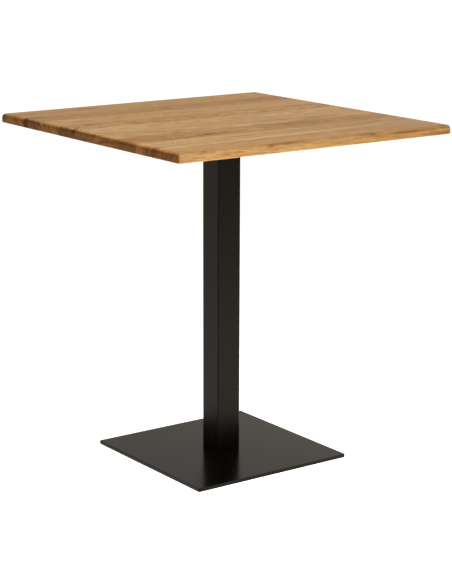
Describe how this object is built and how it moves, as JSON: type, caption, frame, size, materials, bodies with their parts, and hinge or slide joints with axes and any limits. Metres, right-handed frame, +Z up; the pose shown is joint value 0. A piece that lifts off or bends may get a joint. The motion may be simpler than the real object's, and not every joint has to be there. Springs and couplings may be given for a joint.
{
  "type": "bistro table",
  "caption": "Square bistro table: edge-glued solid wood top on a square steel column and a thin flat square steel base plate with levelling glides.",
  "frame": {"origin": "on the floor under the middle of the table, at the centre of the bottom of its bounding box", "axes": "+Z up, +X along the staves and grain of the top, +Y across the staves"},
  "size_m": [0.7, 0.7, 0.76],
  "materials": {
    "oak_1": "satin oil on solid oak",
    "oak_2": "satin oil on solid oak",
    "oak_3": "satin oil on solid oak",
    "oak_4": "satin oil on solid oak",
    "oak_5": "satin oil on solid oak",
    "oak_6": "satin oil on solid oak",
    "oak_7": "satin oil on solid oak",
    "oak_8": "satin oil on solid oak",
    "oak_9": "satin oil on solid oak",
    "column_coat": "satin black powder coat",
    "plate_coat": "satin black powder coat",
    "zinc": "bright zinc plate",
    "mild_steel": "bare mild steel",
    "nylon": "moulded nylon"
  },
  "bodies": {
    "table": {"stave_1": "oak_1", "stave_2": "oak_2", "stave_3": "oak_3", "stave_4": "oak_4", "stave_5": "oak_5", "stave_6": "oak_6", "stave_7": "oak_7", "stave_8": "oak_8", "stave_9": "oak_9", "head_plate": "plate_coat", "column_tube": "column_coat", "column_head_block": "mild_steel", "column_foot_block": "mild_steel", "base_plate": "plate_coat", "top_screw_1": "zinc", "top_washer_1": "zinc", "top_screw_2": "zinc", "top_washer_2": "zinc", "top_screw_3": "zinc", "top_washer_3": "zinc", "top_screw_4": "zinc", "top_washer_4": "zinc", "top_screw_5": "zinc", "top_washer_5": "zinc", "top_screw_6": "zinc", "top_washer_6": "zinc", "top_screw_7": "zinc", "top_washer_7": "zinc", "top_screw_8": "zinc", "top_washer_8": "zinc", "head_bolt_1": "zinc", "foot_bolt_1": "zinc", "head_bolt_2": "zinc", "foot_bolt_2": "zinc", "head_bolt_3": "zinc", "foot_bolt_3": "zinc", "head_bolt_4": "zinc", "foot_bolt_4": "zinc"},
    "glide_1": {"glide_pad_1": "nylon"},
    "glide_screw_1": {"glide_stud_1": "zinc"},
    "glide_2": {"glide_pad_2": "nylon"},
    "glide_screw_2": {"glide_stud_2": "zinc"},
    "glide_3": {"glide_pad_3": "nylon"},
    "glide_screw_3": {"glide_stud_3": "zinc"},
    "glide_4": {"glide_pad_4": "nylon"},
    "glide_screw_4": {"glide_stud_4": "zinc"}
  },
  "joints": [
    {"name": "glide_1_height", "type": "slide", "parent": "table", "child": "glide_1", "axis": [0, 0, -1], "range_m": [0, 0.0025]},
    {"name": "glide_1_turn", "type": "hinge", "parent": "glide_1", "child": "glide_screw_1", "pos_m": [-0.165, -0.165, 0], "axis": [0, 0, -1], "range_deg": [0, 720]},
    {"name": "glide_2_height", "type": "slide", "parent": "table", "child": "glide_2", "axis": [0, 0, -1], "range_m": [0, 0.0025]},
    {"name": "glide_2_turn", "type": "hinge", "parent": "glide_2", "child": "glide_screw_2", "pos_m": [0.165, -0.165, 0], "axis": [0, 0, -1], "range_deg": [0, 720]},
    {"name": "glide_3_height", "type": "slide", "parent": "table", "child": "glide_3", "axis": [0, 0, -1], "range_m": [0, 0.0025]},
    {"name": "glide_3_turn", "type": "hinge", "parent": "glide_3", "child": "glide_screw_3", "pos_m": [0.165, 0.165, 0], "axis": [0, 0, -1], "range_deg": [0, 720]},
    {"name": "glide_4_height", "type": "slide", "parent": "table", "child": "glide_4", "axis": [0, 0, -1], "range_m": [0, 0.0025]},
    {"name": "glide_4_turn", "type": "hinge", "parent": "glide_4", "child": "glide_screw_4", "pos_m": [-0.165, 0.165, 0], "axis": [0, 0, -1], "range_deg": [0, 720]}
  ],
  "couplings": [
    {"joint": "glide_1_turn", "follows": "glide_1_height", "rad_per_m": 5026.5},
    {"joint": "glide_2_turn", "follows": "glide_2_height", "rad_per_m": 5026.5},
    {"joint": "glide_3_turn", "follows": "glide_3_height", "rad_per_m": 5026.5},
    {"joint": "glide_4_turn", "follows": "glide_4_height", "rad_per_m": 5026.5}
  ]
}
